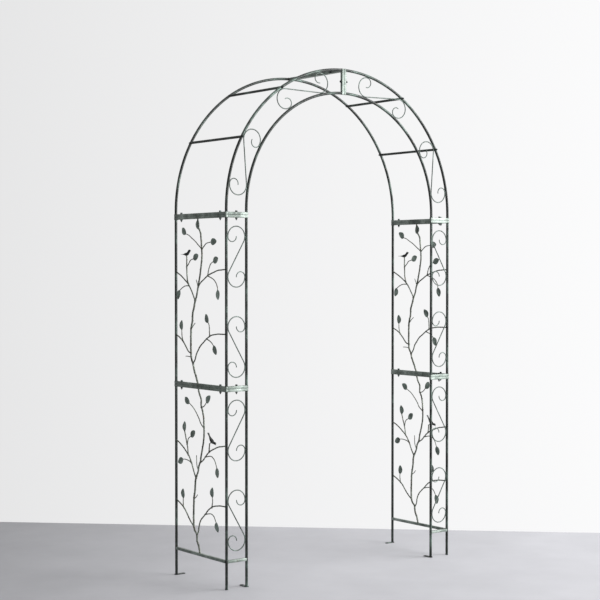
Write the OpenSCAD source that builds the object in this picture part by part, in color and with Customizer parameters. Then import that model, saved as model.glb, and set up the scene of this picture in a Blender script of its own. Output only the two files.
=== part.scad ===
// Metal trellis arch: a walk-through garden arch that bolts together from four leg
// sections and two arch halves. +X is across the opening, +Y is from the front (the
// face with the scrolls) to the rear, +Z is up. The origin is on the ground, in the
// middle of the plan.

/* [Arch] */
// Width of the opening, between the outer posts' centres
arch_w = 1350; // [1100:10:1600]
// Depth, between the front and rear posts' centres
arch_d = 420; // [340:10:520]
// Width of the front ladder, between the outer and inner posts' centres
ladder_w = 110; // [100:2:130]
// Straight length of the arch tubes above their spring bars
spring_h = 13.5; // [5:0.5:40]

/* [Legs] */
// Height of the lowest bar above the ground
leg_h = 120; // [80:5:180]
// Clear height of each leg panel, between its bars
panel_h = 760; // [760:5:800]

/* [Tubes and bars] */
// Diameter of the posts and arch tubes
tube_d = 13; // [12:0.5:16]
// Side of the square bars
bar_s = 13; // [12:0.5:16]
// Wall of the tubes and bars
wall = 1.2; // [1:0.1:1.5]
// Diameter of the rungs across the arch
rung_d = 12; // [10:0.5:12]
// Angles of the rungs up each side of the arch, from its spring
rung_angles = [29, 57];

/* [Scrolls] */
// Diameter of the scroll wire, in its large curls
scroll_d = 5; // [4:0.5:6]
// How much thicker the wire is left in its straight middle
middle_gain = 0.4; // [0.2:0.1:0.8]
// How much thinner it is drawn in the small curls at its ends
tip_loss = 0.6; // [0.2:0.1:1]
// Distance of a leg scroll's middle from its panel's middle
scroll_offset = 204; // [195:1:210]
// Half the distance between the curls' centres of a leg scroll
leg_curl = 91; // [80:1:95]
// Half the angle between the curls' centres of an arch scroll
arch_curl = 10.3; // [9:0.1:11]
// Angles of the arch scrolls' middles, from the spring
scroll_angles = [20.5, 66.5];

/* [Leaves and birds] */
// Length of a leaf
leaf_l = 45; // [34:1:48]
// Width of a leaf
leaf_w = 32; // [20:1:36]
// Thickness of the leaf sheet
leaf_t = 1.2; // [1:0.1:2]
// Length of a bird's body, without its head and tail
bird_l = 40; // [36:1:44]

/* [Feet] */
// Thickness of the foot tabs
tab_t = 3; // [2:0.5:5]
// Width of the foot tabs
tab_w = 20; // [18:1:30]
// Distance from the post to the peg hole
tab_reach = 38; // [30:1:50]
// Diameter of the peg hole
peg_hole = 8; // [6:0.5:10]

/* [Bolts] */
// Thread diameter
bolt_d = 6; // [5:1:6]
// Clearance hole for the bolt
bolt_hole = 6.5; // [6.5:0.1:7]
// Distance of the side bolts from the post centres
bolt_inset = 48; // [35:1:80]
// Distance of the crown's bolts from the middle of its long bars
crown_bolt_y = 130; // [90:5:160]

/* [Hidden] */
$fn = 48;
outer_r = arch_w / 2;
inner_r = outer_r - ladder_w;
ladder_r = outer_r - ladder_w / 2;
front_y = -arch_d / 2;
rear_y = arch_d / 2;
bar_h = bar_s / 2;
lower_z = leg_h + bar_s;             // bottom edge of the lower panels
joint_z = lower_z + panel_h + bar_s; // where lower and upper sections meet
upper_z = joint_z + bar_s;           // bottom edge of the upper panels
spring_z = upper_z + panel_h + bar_s; // where the legs and the arch meet
centre_z = spring_z + bar_s + spring_h; // centre of the arch's curve
crown_z = centre_z + outer_r;        // centre line of the arch at its crown
weld = 0.4;                          // how far a welded wire sinks into a tube
lap = 0.3;                           // how far a scroll's stretches run into each other
curl_r = ladder_w / 2 - tube_d / 2 - scroll_d / 2 + weld;
end_angle = asin(bar_s / outer_r);   // where an arch tube meets the crown bar
inner_end = asin(bar_s / inner_r);
hex_d = 11.5;                        // across the corners of an M6 head
head_h = 5;
nut_h = 5;
washer_d = 12;
washer_t = 1.6;
thread_out = 5;                      // thread showing past a nut
dome_d = 10;                         // cap head on the rungs' bolts
wire_reach = arch_d / 2 - tube_d / 2 + weld; // branches end in the posts here
wire_sides = 6;
fork_l = 9;                          // length of the swelling at a fork
leg_d = 3;                           // a bird's two legs, as one rod

// Each wire of a tree is [diameter, points as [towards the rear, up the panel]].
upper_wires = [
    [8.5, [[24, -0.5], [33, 18], [45, 42], [58, 68], [66, 92], [80, 122], [82, 190],
         [80, 248], [69, 288], [66, 322], [55, 352], [45, 382]]],
    [7.5, [[45, 382], [32, 407], [22, 442], [12, 472], [3, 507], [-6, 547], [-12, 587],
         [-10, 622], [-5, 667], [-2, 692], [12, 712], [21, 730], [22, 760.5]]],
    [6, [[45, 382], [62, 407], [80, 432], [102, 457], [130, 476], [160, 494],
         [wire_reach, 515]]],
    [6, [[20, 446], [0, 465], [-30, 482], [-62, 499], [-100, 511], [-145, 522],
         [-wire_reach, 526]]],
    [6, [[80, 136], [105, 146], [130, 172], [160, 197], [185, 210], [wire_reach, 217]]],
    [6, [[64, 88], [46, 110], [35, 135], [18, 156], [0, 175], [-30, 195], [-60, 214],
         [-95, 227], [-145, 233], [-wire_reach, 234]]],
    [6, [[105, 460], [113, 488], [116, 528], [117, 590]]],
    [5, [[117, 540], [100, 553], [85, 569], [60, 576]]],
    [5, [[98, 451], [130, 449], [155, 441], [178, 428]]],
    [5, [[-9, 622], [15, 637], [45, 657], [75, 673], [100, 686], [124, 693]]],
    [5, [[-11, 619], [-28, 632], [-50, 646], [-85, 651]]],
    [5, [[-60, 498], [-68, 527], [-85, 552], [-105, 562]]],
    [5, [[-58, 497], [-100, 484], [-125, 467], [-138, 447], [-140, 432]]],
    [5, [[148, 188], [158, 212], [161, 244]]],
    [5, [[-75, 221], [-73, 249], [-70, 272], [-62, 284]]],
    [5, [[-50, 208], [-85, 195], [-107, 178]]],
    [4.5, [[81, 247], [62, 265], [46, 278]]],
    [4.5, [[79, 118], [102, 121], [126, 121]]],
    [4.5, [[22, 452], [36, 478]]],
];
lower_wires = [
    [8.5, [[8, -0.5], [16, 26], [30, 54], [35, 84], [51, 100], [60, 128], [60, 194],
         [57, 248], [48, 294], [44, 334], [36, 354]]],
    [7.5, [[36, 354], [22, 378], [15, 404], [2, 428], [-5, 458], [-14, 488], [-24, 524],
         [-28, 568], [-25, 622], [-17, 658], [-4, 684], [-4, 714], [10, 736], [20, 760.5]]],
    [6, [[40, 344], [55, 368], [66, 388], [78, 412], [95, 436], [120, 458], [150, 479],
         [180, 496], [wire_reach, 505]]],
    [6, [[8, 418], [-18, 432], [-40, 452], [-68, 475], [-100, 490], [-145, 506],
         [-wire_reach, 516]]],
    [6, [[58, 116], [85, 136], [108, 159], [135, 187], [165, 206], [wire_reach, 224]]],
    [6, [[33, 80], [20, 100], [15, 124], [0, 154], [-35, 184], [-70, 214], [-110, 232],
         [-160, 240], [-wire_reach, 242]]],
    [5.5, [[-69, 475], [-73, 514]]],
    [5.5, [[106, 446], [110, 472], [117, 499], [128, 529], [137, 556]]],
    [5, [[115, 494], [105, 522], [84, 535]]],
    [5, [[78, 411], [100, 419], [130, 423], [152, 421]]],
    [5, [[-27, 582], [0, 602], [15, 624], [38, 649], [65, 672], [97, 689]]],
    [5, [[-5, 676], [-25, 682], [-40, 694], [-47, 702]]],
    [5, [[-38, 450], [-80, 458], [-105, 450], [-120, 434], [-132, 408]]],
    [5, [[145, 193], [150, 216], [150, 239]]],
    [5, [[-90, 223], [-97, 249], [-95, 272]]],
    [5, [[-36, 185], [-80, 194], [-105, 187], [-118, 172], [-126, 159]]],
    [4.5, [[57, 246], [40, 256], [28, 268]]],
    [4.5, [[20, 382], [33, 408], [36, 450]]],
];
// Each leaf is [the end of its twig, the angle it points at], from +Y towards +Z.
upper_leaves = [
    [[21, 713], 90], [[124, 693], 37], [[-85, 651], 175], [[60, 576], 157],
    [[-105, 562], 159], [[-140, 432], -100], [[178, 428], -70], [[161, 244], 88],
    [[-62, 284], 57], [[-107, 178], -117],
];
lower_leaves = [
    [[97, 689], 33], [[-47, 702], 133], [[137, 556], 86], [[84, 535], 142],
    [[152, 421], -25], [[-132, 408], -105], [[150, 239], 90], [[-95, 272], 88],
    [[-126, 159], -107],
];
// A bird is [where its feet stand, the middle of its body, the angle it looks along].
upper_bird = [[117, 590], [115, 598], 165];
lower_bird = [[-73, 514], [-92, 527], 216];

// ---- Placing ----

// Draws its children on one side of the arch. They are written for the right one.
module on_side(side) {
    if (side == "right") children();
    else mirror([1, 0, 0]) children();
}

// Draws its children, written in a plane as [across, up], standing at one depth.
module upright(y) {
    translate([0, y, 0]) rotate([90, 0, 0]) children();
}

// Bottom edge of a tier's panels.
function panel_z(tier) = tier == "lower" ? lower_z : upper_z;

// ---- Stock ----

// A length of round tube, standing on the origin.
module tube(length, d = tube_d) {
    difference() {
        cylinder(d = d, h = length);
        translate([0, 0, -1]) cylinder(d = d - 2 * wall, h = length + 2);
    }
}

// A closed square bar from one corner, drilled through along one axis where listed.
module bar(size, holes, drill) {
    difference() {
        cube(size);
        translate([wall, wall, wall]) cube([for (s = size) s - 2 * wall]);
        for (h = holes) translate(h) rotate(drill)
            cylinder(d = bolt_hole, h = 3 * bar_s, center = true);
    }
}

// A bent wire in the plane across X, as a tube of rings along its points.
module wire(d, points) {
    n = len(points);
    // Direction of the wire at each point, as the mean of its two neighbours.
    function heading(i) =
        let (a = points[max(i - 1, 0)], b = points[min(i + 1, n - 1)])
        (b - a) / norm(b - a);
    rings = [for (i = [0:n - 1], k = [0:wire_sides - 1])
        let (t = heading(i), a = 360 * k / wire_sides, s = d / 2 * sin(a))
        [d / 2 * cos(a), points[i].x - t.y * s, points[i].y + t.x * s]];
    sides = [for (i = [0:n - 2], k = [0:wire_sides - 1])
        let (k2 = (k + 1) % wire_sides, a = i * wire_sides, b = a + wire_sides)
        [a + k, a + k2, b + k2, b + k]];
    first = [for (k = [wire_sides - 1:-1:0]) k];
    last = [for (k = [0:wire_sides - 1]) (n - 1) * wire_sides + k];
    polyhedron(rings, concat([first, last], sides));
}

// An arc of round wire about the origin, from one angle to another.
module wire_arc(r, from, to, d) {
    rotate(from) rotate_extrude(angle = to - from) translate([r, 0]) circle(d = d);
}

// ---- Legs ----

module post(x, y, tier) {
    bottom = tier == "lower" ? tab_t : upper_z;
    top = tier == "lower" ? lower_z + panel_h : upper_z + panel_h;
    translate([x, y, bottom]) tube(top - bottom);
}

module front_outer_post(side, tier) {
    color("darkslategray") on_side(side) post(outer_r, front_y, tier);
}

module front_inner_post(side, tier) {
    color("darkslategray") on_side(side) post(inner_r, front_y, tier);
}

module rear_post(side, tier) {
    color("darkslategray") on_side(side) post(outer_r, rear_y, tier);
}

// A long joint bar that caps the front outer and rear posts, drilled for two bolts.
module side_joint_bar(z) {
    length = arch_d + bar_s;
    translate([outer_r - bar_h, -length / 2, z])
        bar([bar_s, length, bar_s],
            [for (y = [bar_h + bolt_inset, length - bar_h - bolt_inset]) [bar_h, y, bar_h]],
            [0, 0, 0]);
}

// A short joint bar across the ladder, drilled for one bolt.
module front_joint_bar(z) {
    translate([inner_r - bar_h, front_y - bar_h, z])
        bar([ladder_w, bar_s, bar_s], [[ladder_w / 2 + bar_h, bar_h, bar_h]], [0, 0, 0]);
}

// The lowest bars run between the posts, and their ends are coped to them.
module coped_bar(size, posts) {
    difference() {
        cube(size, center = true);
        cube([for (s = size) s > bar_s ? s + 2 : s - 2 * wall], center = true);
        for (p = posts) translate([p.x, p.y, 0])
            cylinder(d = tube_d, h = 2 * bar_s, center = true);
    }
}

module side_bars(side, tier) {
    color("slategray") on_side(side) {
        if (tier == "lower") {
            translate([outer_r, 0, lower_z - bar_h])
                coped_bar([bar_s, arch_d, bar_s], [[0, front_y], [0, rear_y]]);
            side_joint_bar(joint_z - bar_s);
        } else {
            side_joint_bar(joint_z);
            side_joint_bar(spring_z - bar_s);
        }
    }
}

module front_bars(side, tier) {
    color("slategray") on_side(side) {
        if (tier == "lower") {
            translate([ladder_r, front_y, lower_z - bar_h])
                coped_bar([ladder_w, bar_s, bar_s],
                          [[-ladder_w / 2, 0], [ladder_w / 2, 0]]);
            front_joint_bar(joint_z - bar_s);
        } else {
            front_joint_bar(joint_z);
            front_joint_bar(spring_z - bar_s);
        }
    }
}

// ---- Trees ----

// The swelling where a wire grows out of another, thickest at the fork.
module fork(d, from, towards) {
    tip = from + (towards - from) * fork_l / norm(towards - from);
    hull() {
        translate([0, from.x, from.y]) sphere(d = d + 2, $fn = wire_sides);
        translate([0, tip.x, tip.y]) sphere(d = d + 0.4, $fn = wire_sides);
    }
}

module tree_wires(side, tier) {
    wires = tier == "lower" ? lower_wires : upper_wires;
    color("darkolivegreen") on_side(side) translate([outer_r, 0, panel_z(tier)]) {
        for (w = wires) wire(w[0], w[1]);
        for (i = [1:len(wires) - 1]) fork(wires[i][0], wires[i][1][0], wires[i][1][1]);
    }
}

// A pointed leaf from its stalk, flat across X, pointing along +Y.
module leaf() {
    r = (leaf_l * leaf_l + leaf_w * leaf_w) / (4 * leaf_w);
    rotate([90, 0, 90]) linear_extrude(leaf_t, center = true)
        translate([leaf_l / 2, 0]) intersection() {
            translate([0, r - leaf_w / 2]) circle(r);
            translate([0, leaf_w / 2 - r]) circle(r);
        }
}

module tree_leaves(side, tier) {
    leaves = tier == "lower" ? lower_leaves : upper_leaves;
    color("olivedrab") on_side(side) translate([outer_r, 0, panel_z(tier)])
        for (l = leaves) translate([0, l[0].x, l[0].y]) rotate([l[1], 0, 0]) leaf();
}

// A small songbird that looks along +Y, with the middle of its body at the origin. Its
// neck and its tail both rise from its body.
module songbird() {
    fat = bird_l * 0.18;
    head_y = bird_l * 0.6;
    head_z = bird_l * 0.22;
    neck = atan2(head_z, head_y);
    rotate([-90, 0, 0]) rotate_extrude() polygon([
        [0, -bird_l / 2], [fat * 0.5, -bird_l * 0.45], [fat * 0.85, -bird_l * 0.22],
        [fat, bird_l * 0.05], [fat * 0.8, bird_l * 0.3], [0, bird_l / 2]]);
    rotate([neck - 90, 0, 0])
        cylinder(d1 = fat * 1.8, d2 = fat * 1.3, h = norm([head_y, head_z]));
    translate([0, head_y, head_z]) {
        sphere(d = fat * 1.7);
        rotate([-96, 0, 0]) cylinder(d1 = fat * 0.7, d2 = 0.6, h = bird_l * 0.34);
    }
    rotate([-18, 0, 180]) translate([0, bird_l * 0.25, 0])
        linear_extrude(3, center = true)
            polygon([[-4, 0], [4, 0], [5, bird_l * 0.95], [-5, bird_l * 0.95]]);
}

module bird(side, tier) {
    b = tier == "lower" ? lower_bird : upper_bird;
    leg = b[1] - b[0];
    color("dimgray") on_side(side) translate([outer_r, 0, panel_z(tier)]) {
        translate([0, b[1].x, b[1].y])
            rotate([180 + b[2], 0, 0]) mirror([0, 1, 0]) songbird();
        translate([0, b[0].x, b[0].y - weld]) rotate([-atan2(leg.x, leg.y), 0, 0])
            cylinder(d = leg_d, h = norm(leg));
    }
}

// ---- Scrolls ----

// Half of an S: a large curl, then a small one that ends at the large one's centre.
module curl(from, to) {
    small_r = curl_r / 2;
    wire_arc(curl_r, from, to, scroll_d);
    rotate(to) translate([small_r, 0])
        wire_arc(small_r, -lap * 180 / (PI * small_r), 180, scroll_d - tip_loss);
}

// An S in the plane, with its curls' centres at [0, -half] and [0, half]. bend is the
// angle by which the rails turn between its middle and either curl.
module scroll(half, bend = 0) {
    lean = asin(curl_r / half);
    length = 2 * sqrt(half * half - curl_r * curl_r) + 2 * lap;
    translate([0, half]) curl(-lean, 180 - bend);
    translate([0, -half]) curl(180 - lean, 360 + bend);
    rotate(-lean) rotate([90, 0, 0])
        cylinder(d = scroll_d + middle_gain, h = length, center = true);
}

module scrolls(side, tier) {
    middle = panel_z(tier) + panel_h / 2;
    color("slategray") on_side(side) upright(front_y) {
        translate([ladder_r, middle + scroll_offset]) mirror([1, 0]) scroll(leg_curl);
        translate([ladder_r, middle - scroll_offset]) scroll(leg_curl);
    }
}

module arch_scrolls(side) {
    half = ladder_r * sin(arch_curl);
    chord_r = ladder_r * cos(arch_curl);
    color("slategray") on_side(side) upright(front_y) translate([0, centre_z]) {
        rotate(scroll_angles[0]) translate([chord_r, 0]) scroll(half, -arch_curl);
        rotate(scroll_angles[1]) translate([chord_r, 0])
            mirror([1, 0]) scroll(half, arch_curl);
    }
}

// ---- Arch ----

// One curved tube of the arch with its straight foot, drilled for the rungs' bolts.
module arc_tube(r, end, y, drilled) {
    difference() {
        arc_solid(r, end, y, tube_d, 0);
        arc_solid(r, end, y, tube_d - 2 * wall, 1);
        if (drilled) for (a = rung_angles)
            translate([r * cos(a), y, centre_z + r * sin(a)])
                rotate([90, 0, 0]) cylinder(d = bolt_hole, h = 2 * tube_d, center = true);
    }
}

// The filled shape of that tube, longer by extra at both ends.
module arc_solid(r, end, y, d, extra) {
    foot = spring_z + bar_s - extra;
    over = extra * 180 / (PI * r);
    translate([r, y, foot]) cylinder(d = d, h = centre_z - foot);
    upright(y) translate([0, centre_z]) wire_arc(r, 0, 90 - end + over, d);
}

module outer_arc(side) {
    color("darkslategray") on_side(side) arc_tube(outer_r, end_angle, front_y, true);
}

module inner_arc(side) {
    color("darkslategray") on_side(side) arc_tube(inner_r, inner_end, front_y, false);
}

module rear_arc(side) {
    color("darkslategray") on_side(side) arc_tube(outer_r, end_angle, rear_y, true);
}

module spring_bars(side) {
    color("slategray") on_side(side) {
        side_joint_bar(spring_z);
        front_joint_bar(spring_z);
    }
}

// The short upright bar that ends the ladder, and the long bar from front to rear.
module crown_bars(side) {
    height = ladder_w + bar_s;
    length = arch_d;
    color("slategray") on_side(side) {
        translate([0, front_y - bar_h, crown_z + bar_h - height])
            bar([bar_s, bar_s, height], [[bar_h, bar_h, height / 2]], [0, 90, 0]);
        translate([0, front_y + bar_h, crown_z - bar_h])
            bar([bar_s, length, bar_s],
                [for (s = [-1, 1]) [bar_h, -front_y - bar_h + s * crown_bolt_y, bar_h]],
                [0, 90, 0]);
    }
}

// Draws its children at the middle of each rung of one side, turned so that +X points
// out of the arch and +Z along its curve.
module at_rungs() {
    for (a = rung_angles)
        translate([outer_r * cos(a), 0, centre_z + outer_r * sin(a)])
            rotate([0, -a, 0]) children();
}

// The rungs' ends are coped to the arch tubes.
module rungs(side) {
    color("slategray") on_side(side) at_rungs() difference() {
        rotate([90, 0, 0]) cylinder(d = rung_d, h = arch_d, center = true);
        rotate([90, 0, 0]) cylinder(d = rung_d - 2 * wall, h = arch_d + 2, center = true);
        for (y = [front_y, rear_y]) translate([0, y, 0])
            cylinder(d = tube_d, h = 2 * rung_d, center = true);
    }
}

// ---- Feet ----

// A flat tab that reaches out along +X from under a post to its peg hole.
module foot_tab() {
    linear_extrude(tab_t) difference() {
        union() {
            circle(d = tab_w);
            translate([tab_reach, 0]) circle(d = tab_w);
            translate([0, -tab_w / 2]) square([tab_reach, tab_w]);
        }
        translate([tab_reach, 0]) circle(d = peg_hole);
    }
}

module foot_tabs(side) {
    color("darkslategray") on_side(side) {
        translate([outer_r, rear_y, 0]) rotate(180) foot_tab();
        translate([inner_r, front_y, 0]) rotate(90) foot_tab();
        translate([outer_r, front_y, 0]) cylinder(d = tube_d, h = tab_t);
    }
}

// ---- Fasteners ----

// A hexagon bolt and washer from above, for a joint whose plane is at the origin.
module joint_bolt() {
    translate([0, 0, bar_s]) {
        cylinder(d = washer_d, h = washer_t);
        translate([0, 0, washer_t]) cylinder(d = hex_d, h = head_h, $fn = 6);
    }
    reach = bar_s + washer_t + nut_h + thread_out;
    translate([0, 0, -reach]) cylinder(d = bolt_d, h = reach + bar_s + 0.5);
}

// Its washer and nut below.
module joint_nut() {
    translate([0, 0, -bar_s - washer_t - nut_h]) difference() {
        union() {
            cylinder(d = hex_d, h = nut_h, $fn = 6);
            translate([0, 0, nut_h]) cylinder(d = washer_d, h = washer_t);
        }
        translate([0, 0, -1]) cylinder(d = bolt_d + 0.2, h = nut_h + washer_t + 2);
    }
}

// Draws its children at the three bolts of each leg's joint.
module at_joint(z) {
    for (side = ["left", "right"]) on_side(side) {
        for (y = [front_y + bolt_inset, rear_y - bolt_inset])
            translate([outer_r, y, z]) children();
        translate([ladder_r, front_y, z]) children();
    }
}

module joint_bolts(z) {
    color("gray") at_joint(z) joint_bolt();
}

module joint_nuts(z) {
    color("gray") at_joint(z) joint_nut();
}

// Draws its children at the crown's three bolts, which run along -X to their nuts on +X.
module at_crown() {
    for (p = [[front_y, crown_z - ladder_w / 2], [-crown_bolt_y, crown_z],
              [crown_bolt_y, crown_z]])
        translate([0, p[0], p[1]]) rotate([0, -90, 0]) children();
}

module crown_bolts() {
    color("gray") at_crown() joint_bolt();
}

module crown_nuts() {
    color("gray") at_crown() joint_nut();
}

// Draws its children at both ends of every rung, with +Z out of the arch tube.
module at_rung_ends() {
    for (side = ["left", "right"]) on_side(side) at_rungs() for (s = [0, 1])
        rotate([s == 0 ? 90 : -90, 0, 0]) translate([0, 0, arch_d / 2]) children();
}

module rung_bolts() {
    length = 30;
    color("gray") at_rung_ends() {
        translate([0, 0, tube_d / 2]) {
            cylinder(d = washer_d, h = washer_t);
            translate([0, 0, washer_t]) cylinder(d = dome_d, h = 3.5);
            translate([0, 0, washer_t + 3.5]) difference() {
                sphere(d = dome_d);
                translate([0, 0, -dome_d]) cylinder(d = 2 * dome_d, h = dome_d);
            }
        }
        translate([0, 0, tube_d / 2 - length]) cylinder(d = bolt_d, h = length + 0.5);
    }
}

// Threaded plugs inside the rungs' ends, which the bolts pull on.
module rung_plugs() {
    length = 18;
    color("gray") at_rung_ends() translate([0, 0, -tube_d / 2 - length]) difference() {
        cylinder(d = rung_d - 2 * wall, h = length);
        translate([0, 0, -1]) cylinder(d = bolt_d + 0.2, h = length + 2);
    }
}

// ---- The nodes ----

for (side = ["left", "right"]) {
    for (tier = ["lower", "upper"]) {
        name = str(side, "_", tier, "_");
        front_outer_post(side, tier);
        front_inner_post(side, tier);
        rear_post(side, tier);
        side_bars(side, tier);
        front_bars(side, tier);
        tree_wires(side, tier);
        tree_leaves(side, tier);
        bird(side, tier);
        scrolls(side, tier);
    }
    outer_arc(side);
    inner_arc(side);
    rear_arc(side);
    spring_bars(side);
    crown_bars(side);
    rungs(side);
    arch_scrolls(side);
    foot_tabs(side);
}
joint_bolts(joint_z);  // mid_joint_bolts
joint_nuts(joint_z);  // mid_joint_nuts
joint_bolts(spring_z);  // top_joint_bolts
joint_nuts(spring_z);  // top_joint_nuts
crown_bolts();
crown_nuts();
rung_bolts();
rung_plugs();
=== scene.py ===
"""Looks of the metal trellis arch: its paint, bars, wire trees, leaves, birds and scrolls.

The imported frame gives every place. +X is across the opening, +Y runs from the scroll front
to the rear, +Z is up, and lengths are in metres. Shapes are worked out for the right side
of the arch, and the left side is their mirror image.
"""

import math

import bpy
import numpy as np
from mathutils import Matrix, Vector


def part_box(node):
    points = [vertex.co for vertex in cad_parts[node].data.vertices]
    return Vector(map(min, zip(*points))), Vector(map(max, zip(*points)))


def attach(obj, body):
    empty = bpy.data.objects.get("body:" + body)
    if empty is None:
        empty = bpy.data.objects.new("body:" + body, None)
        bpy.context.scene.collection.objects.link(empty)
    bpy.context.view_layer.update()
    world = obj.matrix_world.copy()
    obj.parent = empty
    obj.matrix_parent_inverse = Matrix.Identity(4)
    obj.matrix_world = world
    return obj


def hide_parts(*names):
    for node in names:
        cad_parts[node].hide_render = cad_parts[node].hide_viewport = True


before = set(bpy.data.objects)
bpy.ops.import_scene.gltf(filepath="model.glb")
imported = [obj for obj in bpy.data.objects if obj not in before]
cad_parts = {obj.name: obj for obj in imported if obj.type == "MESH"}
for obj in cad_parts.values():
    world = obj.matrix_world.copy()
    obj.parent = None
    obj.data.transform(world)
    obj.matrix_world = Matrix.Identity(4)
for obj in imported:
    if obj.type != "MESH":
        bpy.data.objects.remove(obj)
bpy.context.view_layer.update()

MM = 0.001
TURN = 2 * math.pi
AXES = np.eye(3)

# ---- Places that the frame gives ----


def middle(node):
    """The middle of a node's box."""
    low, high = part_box(node)
    return np.array((low + high) / 2)


post_low, post_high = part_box("right_lower_front_outer_post")
outer_r, front_y = middle("right_lower_front_outer_post")[:2]
inner_r = middle("right_lower_front_inner_post")[0]
rear_y = middle("right_lower_rear_post")[1]
ladder_r = (outer_r + inner_r) / 2
tube_r = (post_high.x - post_low.x) / 2
tab_top = post_low.z
bars_low, bars_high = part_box("right_lower_side_bars")
bar_h = (bars_high.x - bars_low.x) / 2
bar_s = 2 * bar_h
foot_bar_z = bars_low.z
joint_z = bars_high.z
spring_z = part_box("right_spring_bars")[0].z
crown_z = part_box("right_crown_bars")[1].z - bar_h
centre_z = crown_z - outer_r
panel_z = {"lower": foot_bar_z + bar_s, "upper": joint_z + bar_s}
panel_h = joint_z - bar_s - panel_z["lower"]

# ---- Sizes of the small work ----

SCROLL_R = 2.5 * MM  # scroll wire, in its large curls
WELD = 0.4 * MM  # how far a welded wire sinks into a tube
LEG_CURL = 91 * MM  # half the distance between a leg scroll's curls
SCROLL_OFFSET = 204 * MM  # a leg scroll's middle from its panel's middle
ARCH_CURL = math.radians(10.3)  # half the angle between an arch scroll's curls
SCROLL_ANGLES = [math.radians(20.5), math.radians(66.5)]
RUNG_ANGLES = [math.radians(29), math.radians(57)]
LEAF_L = 45 * MM
LEAF_W = 32 * MM
LEAF_T = 1.2 * MM
TAB_W = 20 * MM
TAB_REACH = 38 * MM
PEG_R = 4 * MM
BOLT_R = 3 * MM
BOLT_INSET = 48 * MM
CROWN_BOLT_Y = 130 * MM
HEX_R = 5.75 * MM
HEAD_H = 5 * MM
NUT_H = 5 * MM
WASHER_R = 6 * MM
WASHER_T = 1.6 * MM
THREAD_OUT = 5 * MM
curl_r = (outer_r - inner_r) / 2 - tube_r - SCROLL_R + WELD
wire_reach = rear_y / MM - tube_r / MM + WELD / MM  # in millimetres, as the lists below

# Each wire of a tree: its diameter, then the points it passes, towards the rear and up the
# panel, in millimetres.
UPPER_WIRES = [
    [8.5, [[24, -0.5], [33, 18], [45, 42], [58, 68], [66, 92], [80, 122], [82, 190],
         [80, 248], [69, 288], [66, 322], [55, 352], [45, 382]]],
    [7.5, [[45, 382], [32, 407], [22, 442], [12, 472], [3, 507], [-6, 547], [-12, 587],
         [-10, 622], [-5, 667], [-2, 692], [12, 712], [21, 730], [22, 760.5]]],
    [6, [[45, 382], [62, 407], [80, 432], [102, 457], [130, 476], [160, 494],
         [wire_reach, 515]]],
    [6, [[20, 446], [0, 465], [-30, 482], [-62, 499], [-100, 511], [-145, 522],
         [-wire_reach, 526]]],
    [6, [[80, 136], [105, 146], [130, 172], [160, 197], [185, 210], [wire_reach, 217]]],
    [6, [[64, 88], [46, 110], [35, 135], [18, 156], [0, 175], [-30, 195], [-60, 214],
         [-95, 227], [-145, 233], [-wire_reach, 234]]],
    [6, [[105, 460], [113, 488], [116, 528], [117, 590]]],
    [5, [[117, 540], [100, 553], [85, 569], [60, 576]]],
    [5, [[98, 451], [130, 449], [155, 441], [178, 428]]],
    [5, [[-9, 622], [15, 637], [45, 657], [75, 673], [100, 686], [124, 693]]],
    [5, [[-11, 619], [-28, 632], [-50, 646], [-85, 651]]],
    [5, [[-60, 498], [-68, 527], [-85, 552], [-105, 562]]],
    [5, [[-58, 497], [-100, 484], [-125, 467], [-138, 447], [-140, 432]]],
    [5, [[148, 188], [158, 212], [161, 244]]],
    [5, [[-75, 221], [-73, 249], [-70, 272], [-62, 284]]],
    [5, [[-50, 208], [-85, 195], [-107, 178]]],
    [4.5, [[81, 247], [62, 265], [46, 278]]],
    [4.5, [[79, 118], [102, 121], [126, 121]]],
    [4.5, [[22, 452], [36, 478]]],
]
LOWER_WIRES = [
    [8.5, [[8, -0.5], [16, 26], [30, 54], [35, 84], [51, 100], [60, 128], [60, 194],
         [57, 248], [48, 294], [44, 334], [36, 354]]],
    [7.5, [[36, 354], [22, 378], [15, 404], [2, 428], [-5, 458], [-14, 488], [-24, 524],
         [-28, 568], [-25, 622], [-17, 658], [-4, 684], [-4, 714], [10, 736], [20, 760.5]]],
    [6, [[40, 344], [55, 368], [66, 388], [78, 412], [95, 436], [120, 458], [150, 479],
         [180, 496], [wire_reach, 505]]],
    [6, [[8, 418], [-18, 432], [-40, 452], [-68, 475], [-100, 490], [-145, 506],
         [-wire_reach, 516]]],
    [6, [[58, 116], [85, 136], [108, 159], [135, 187], [165, 206], [wire_reach, 224]]],
    [6, [[33, 80], [20, 100], [15, 124], [0, 154], [-35, 184], [-70, 214], [-110, 232],
         [-160, 240], [-wire_reach, 242]]],
    [5.5, [[-69, 475], [-73, 514]]],
    [5.5, [[106, 446], [110, 472], [117, 499], [128, 529], [137, 556]]],
    [5, [[115, 494], [105, 522], [84, 535]]],
    [5, [[78, 411], [100, 419], [130, 423], [152, 421]]],
    [5, [[-27, 582], [0, 602], [15, 624], [38, 649], [65, 672], [97, 689]]],
    [5, [[-5, 676], [-25, 682], [-40, 694], [-47, 702]]],
    [5, [[-38, 450], [-80, 458], [-105, 450], [-120, 434], [-132, 408]]],
    [5, [[145, 193], [150, 216], [150, 239]]],
    [5, [[-90, 223], [-97, 249], [-95, 272]]],
    [5, [[-36, 185], [-80, 194], [-105, 187], [-118, 172], [-126, 159]]],
    [4.5, [[57, 246], [40, 256], [28, 268]]],
    [4.5, [[20, 382], [33, 408], [36, 450]]],
]
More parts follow.
